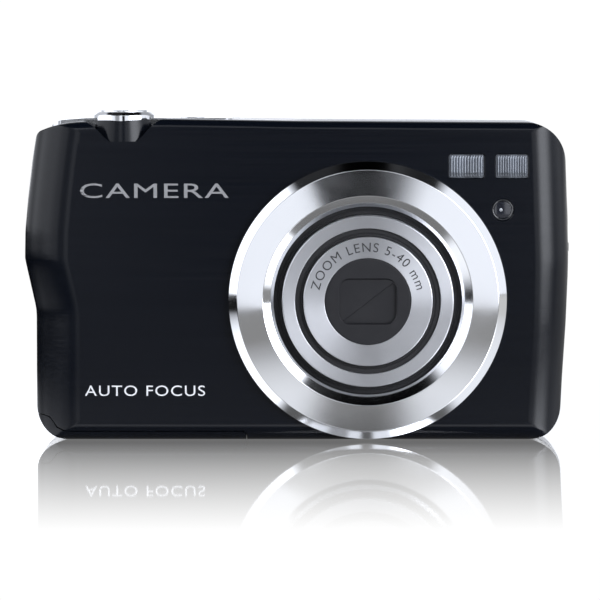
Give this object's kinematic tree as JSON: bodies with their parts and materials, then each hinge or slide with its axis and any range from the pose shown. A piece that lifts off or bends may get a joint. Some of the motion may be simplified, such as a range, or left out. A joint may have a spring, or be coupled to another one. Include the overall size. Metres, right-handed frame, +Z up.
{
  "type": "compact digital camera",
  "caption": "Flat pocket camera with a telescoping zoom lens in a wide metal ring, ribbed flash windows, a shutter button in a collar, a rear screen with keys and a battery door.",
  "frame": {"origin": "Centre of the bounding box in plan, at the lowest point, on the surface that the camera stands on.", "axes": "+X runs along the long side, to the right as seen from the front. The lens points along -Y. +Z is up."},
  "size_m": [0.095, 0.025, 0.0573],
  "materials": {
    "black_shell": "brushed black",
    "silver_shell": "satin silver",
    "chrome": "polished and satin plated",
    "barrel_metal": "satin anodised",
    "steel": "plain stamped or turned",
    "brass": "turned brass and copper winding",
    "cam_metal": "grey anodised",
    "rubber": "matt black",
    "black_plastic": "moulded matt black",
    "blade": "matt black sheet",
    "optical_glass": "clear coated glass",
    "filter_glass": "pale cyan filter",
    "window_plastic": "ribbed clear",
    "mirror": "bright reflector",
    "capacitor_sleeve": "shrink sleeve",
    "circuit_board": "green laminate",
    "screen": "dark cover window",
    "key_plastic": "satin silver"
  },
  "bodies": {
    "camera": {"front_cover": "black_shell", "rear_cover": "silver_shell", "top_plate": "chrome", "inner_frame": "steel", "case_screws": "steel", "lens_bezel": "chrome", "bezel_seal": "rubber", "lens_housing": "black_plastic", "lens_base": "black_plastic", "zoom_motor": "steel", "focus_drive": "brass", "focus_rods": "steel", "ir_filter": "filter_glass", "image_sensor": "steel", "flash_window": "window_plastic", "assist_window": "window_plastic", "flash_reflector": "mirror", "flash_tube": "optical_glass", "flash_capacitor": "capacitor_sleeve", "lamp_lens": "window_plastic", "main_board": "circuit_board", "top_board": "circuit_board", "key_board": "circuit_board", "screen_panel": "steel", "screen_glass": "screen", "battery": "black_plastic", "battery_case": "black_plastic", "door_pin": "steel", "memory_card": "black_plastic", "card_slot": "steel", "usb_socket": "steel", "strap_bar": "steel", "tripod_socket": "steel", "shutter_spring": "steel"},
    "cam": {"cam_ring": "cam_metal"},
    "idler": {"idler_gear": "cam_metal"},
    "pinion": {"motor_pinion": "brass"},
    "outer_tube": {"outer_barrel": "barrel_metal", "barrel_seal": "rubber"},
    "inner_tube": {"inner_barrel": "barrel_metal", "window_plate": "black_plastic", "front_lens": "optical_glass"},
    "upper_blade": {"blade_upper": "blade"},
    "lower_blade": {"blade_lower": "blade"},
    "zoom_group": {"zoom_cell": "black_plastic", "zoom_lens": "optical_glass"},
    "focus_group": {"focus_carriage": "black_plastic", "focus_lens": "optical_glass"},
    "shutter": {"shutter_button": "chrome"},
    "power": {"power_button": "chrome"},
    "rocker": {"zoom_rocker": "key_plastic"},
    "up_key": {"key_up": "key_plastic"},
    "down_key": {"key_down": "key_plastic"},
    "left_key": {"key_left": "key_plastic"},
    "right_key": {"key_right": "key_plastic"},
    "ok_key": {"key_ok": "key_plastic"},
    "menu_key": {"key_menu": "key_plastic"},
    "play_key": {"key_play": "key_plastic"},
    "door": {"battery_door": "black_shell"},
    "flap": {"port_cover": "rubber"}
  },
  "joints": [
    {"name": "cam_turn", "type": "hinge", "parent": "camera", "child": "cam", "pos_m": [0.01205, -0.00115, 0.0244], "axis": [0, -1, 0], "range_deg": [0, 80]},
    {"name": "idler_spin", "type": "hinge", "parent": "camera", "child": "idler", "pos_m": [0.00343, 0.0035, 0.04333], "axis": [0, -1, 0], "range_deg": [-440, 0]},
    {"name": "pinion_spin", "type": "hinge", "parent": "camera", "child": "pinion", "pos_m": [-0.00172, 0.0035, 0.04406], "axis": [0, -1, 0], "range_deg": [0, 704]},
    {"name": "outer_slide", "type": "slide", "parent": "camera", "child": "outer_tube", "axis": [0, -1, 0], "range_m": [0, 0.007]},
    {"name": "inner_slide", "type": "slide", "parent": "outer_tube", "child": "inner_tube", "axis": [0, -1, 0], "range_m": [0, 0.007]},
    {"name": "upper_blade_swing", "type": "hinge", "parent": "inner_tube", "child": "upper_blade", "pos_m": [0.0188, -0.01165, 0.0236], "axis": [0, -1, 0], "range_deg": [-38, 0]},
    {"name": "lower_blade_swing", "type": "hinge", "parent": "inner_tube", "child": "lower_blade", "pos_m": [0.0053, -0.01135, 0.0252], "axis": [0, -1, 0], "range_deg": [-38, 0]},
    {"name": "zoom_slide", "type": "slide", "parent": "inner_tube", "child": "zoom_group", "axis": [0, 1, 0], "range_m": [0, 0.0018]},
    {"name": "focus_slide", "type": "slide", "parent": "camera", "child": "focus_group", "axis": [0, -1, 0], "range_m": [0, 0.0005]},
    {"name": "shutter_press", "type": "slide", "parent": "camera", "child": "shutter", "axis": [0, 0, -1], "range_m": [0, 0.0012], "stiffness_N_per_m": 700, "springref_m": -0.0004, "deforming": ["shutter_spring"]},
    {"name": "power_press", "type": "slide", "parent": "camera", "child": "power", "axis": [0, 0, -1], "range_m": [0, 0.0006], "stiffness_N_per_m": 700, "springref_m": -0.0004},
    {"name": "zoom_rock", "type": "hinge", "parent": "camera", "child": "rocker", "pos_m": [-0.03002, 0.0102, 0.0472], "axis": [0, 0, 1], "range_deg": [-3.5, 3.5], "stiffness_Nm_per_rad": 0.05},
    {"name": "up_press", "type": "slide", "parent": "camera", "child": "up_key", "axis": [0, -1, 0], "range_m": [0, 0.0004], "stiffness_N_per_m": 600, "springref_m": -0.0004},
    {"name": "down_press", "type": "slide", "parent": "camera", "child": "down_key", "axis": [0, -1, 0], "range_m": [0, 0.0004], "stiffness_N_per_m": 600, "springref_m": -0.0004},
    {"name": "left_press", "type": "slide", "parent": "camera", "child": "left_key", "axis": [0, -1, 0], "range_m": [0, 0.0004], "stiffness_N_per_m": 600, "springref_m": -0.0004},
    {"name": "right_press", "type": "slide", "parent": "camera", "child": "right_key", "axis": [0, -1, 0], "range_m": [0, 0.0004], "stiffness_N_per_m": 600, "springref_m": -0.0004},
    {"name": "ok_press", "type": "slide", "parent": "camera", "child": "ok_key", "axis": [0, -1, 0], "range_m": [0, 0.0004], "stiffness_N_per_m": 600, "springref_m": -0.0004},
    {"name": "menu_press", "type": "slide", "parent": "camera", "child": "menu_key", "axis": [0, -1, 0], "range_m": [0, 0.0004], "stiffness_N_per_m": 600, "springref_m": -0.0004},
    {"name": "play_press", "type": "slide", "parent": "camera", "child": "play_key", "axis": [0, -1, 0], "range_m": [0, 0.0004], "stiffness_N_per_m": 600, "springref_m": -0.0004},
    {"name": "door_swing", "type": "hinge", "parent": "camera", "child": "door", "pos_m": [-0.0097, -0.00115, 0.00078], "axis": [0, -1, 0], "range_deg": [0, 88]},
    {"name": "flap_swing", "type": "hinge", "parent": "camera", "child": "flap", "pos_m": [0.04625, 0.00585, 0.0409], "axis": [0, -1, 0], "range_deg": [0, 88]}
  ],
  "couplings": [
    {"joint": "cam_turn", "follows": "outer_slide", "rad_per_m": 199.47},
    {"joint": "idler_spin", "follows": "outer_slide", "rad_per_m": -1097.1},
    {"joint": "pinion_spin", "follows": "outer_slide", "rad_per_m": 1755.3},
    {"joint": "inner_slide", "follows": "outer_slide", "ratio": 1},
    {"joint": "zoom_slide", "follows": "outer_slide", "ratio": 0.25714},
    {"joint": "upper_blade_swing", "follows": "outer_slide", "rad_per_m": -94.746},
    {"joint": "lower_blade_swing", "follows": "outer_slide", "rad_per_m": -94.746}
  ]
}
